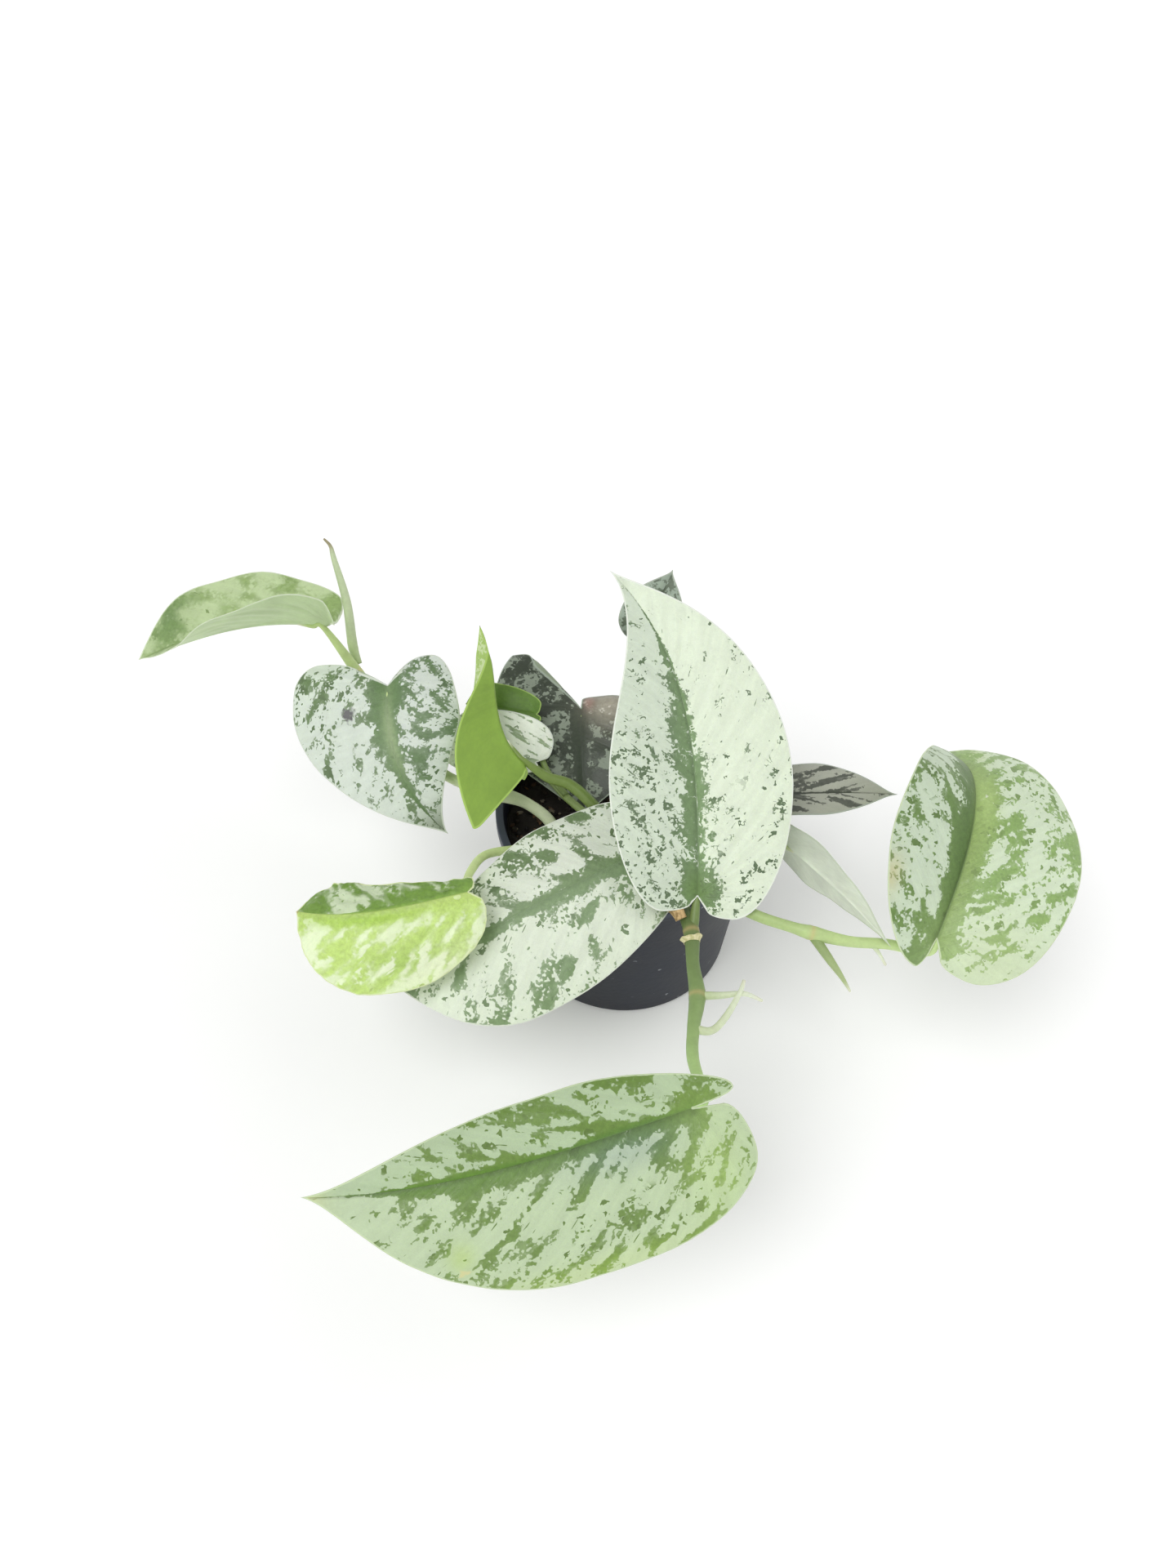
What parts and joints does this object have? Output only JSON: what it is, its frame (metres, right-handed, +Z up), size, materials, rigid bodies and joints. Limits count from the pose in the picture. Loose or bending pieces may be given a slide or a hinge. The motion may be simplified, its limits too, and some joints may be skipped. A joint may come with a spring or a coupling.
{
  "type": "potted satin pothos",
  "caption": "Trailing houseplant with silver-splashed heart-shaped leaves on long stems in a plain round nursery pot.",
  "frame": {"origin": "centre of the pot's underside, where it stands on a shelf", "axes": "+Z up, -Y towards the viewer's side of the picture, +X to the right of the picture"},
  "size_m": [0.3543, 0.2573, 0.1613],
  "materials": {
    "pot_plastic": "satin",
    "soil": "matte",
    "stem": "satin",
    "leaf_centre": "satin",
    "leaf_front": "satin",
    "leaf_right": "satin",
    "leaf_lower_left": "satin",
    "leaf_yellow": "satin",
    "leaf_heart": "satin",
    "leaf_arching": "satin",
    "leaf_bright_edge": "satin",
    "leaf_small_silver": "satin",
    "leaf_young_green": "satin",
    "leaf_back": "satin",
    "leaf_behind_tip": "satin",
    "leaf_dark_slim": "satin",
    "leaf_pale_drooping": "satin",
    "leaf_rolled": "satin"
  },
  "bodies": {
    "root": {"pot": "pot_plastic", "soil": "soil", "leaf_centre": "leaf_centre", "leaf_front": "leaf_front", "leaf_right": "leaf_right", "leaf_lower_left": "leaf_lower_left", "leaf_yellow": "leaf_yellow", "leaf_heart": "leaf_heart", "leaf_arching": "leaf_arching", "leaf_bright_edge": "leaf_bright_edge", "leaf_small_silver": "leaf_small_silver", "leaf_young_green": "leaf_young_green", "leaf_back": "leaf_back", "leaf_behind_tip": "leaf_behind_tip", "leaf_dark_slim": "leaf_dark_slim", "leaf_pale_drooping": "leaf_pale_drooping", "leaf_rolled": "leaf_rolled", "vine_front": "stem", "vine_right": "stem", "vine_left": "stem", "vine_inner": "stem", "vine_back": "stem", "vine_behind": "stem"}
  },
  "joints": []
}
